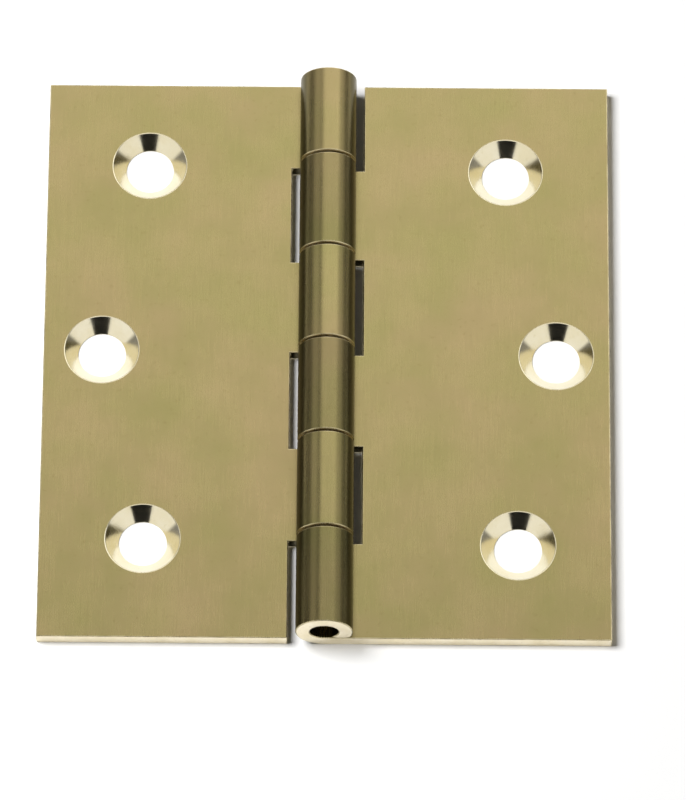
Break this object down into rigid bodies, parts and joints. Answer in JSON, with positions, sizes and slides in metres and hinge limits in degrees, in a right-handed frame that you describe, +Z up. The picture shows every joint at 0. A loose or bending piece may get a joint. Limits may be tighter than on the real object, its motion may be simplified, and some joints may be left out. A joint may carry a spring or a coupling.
{
  "type": "butt hinge",
  "caption": "Square-cornered brass butt hinge, opened flat, with rolled knuckles, zigzag countersunk screw holes and a plain fixed pin, for hanging a door.",
  "frame": {"origin": "on the pin's axis, half way up the hinge, which is the centre of the open hinge's box", "axes": "+Z up along the pin, +X towards the door leaf's outer edge, +Y out of the leaves' backs, where the hinge lies on the frame and the door; the barrel and the countersinks face -Y"},
  "size_m": [0.07, 0.007, 0.076],
  "materials": {
    "leaf_brass": "satin rolled sheet with fine drawn grain, brighter in the countersinks and on cut ends",
    "pin_brass": "drawn wire, darkened"
  },
  "bodies": {
    "frame_side": {"frame_leaf": "leaf_brass", "hinge_pin": "pin_brass"},
    "door_side": {"door_leaf": "leaf_brass"}
  },
  "joints": [
    {"name": "door_swing", "type": "hinge", "parent": "frame_side", "child": "door_side", "pos_m": [0, 0, 0], "axis": [0, 0, -1], "range_deg": [0, 180]}
  ]
}
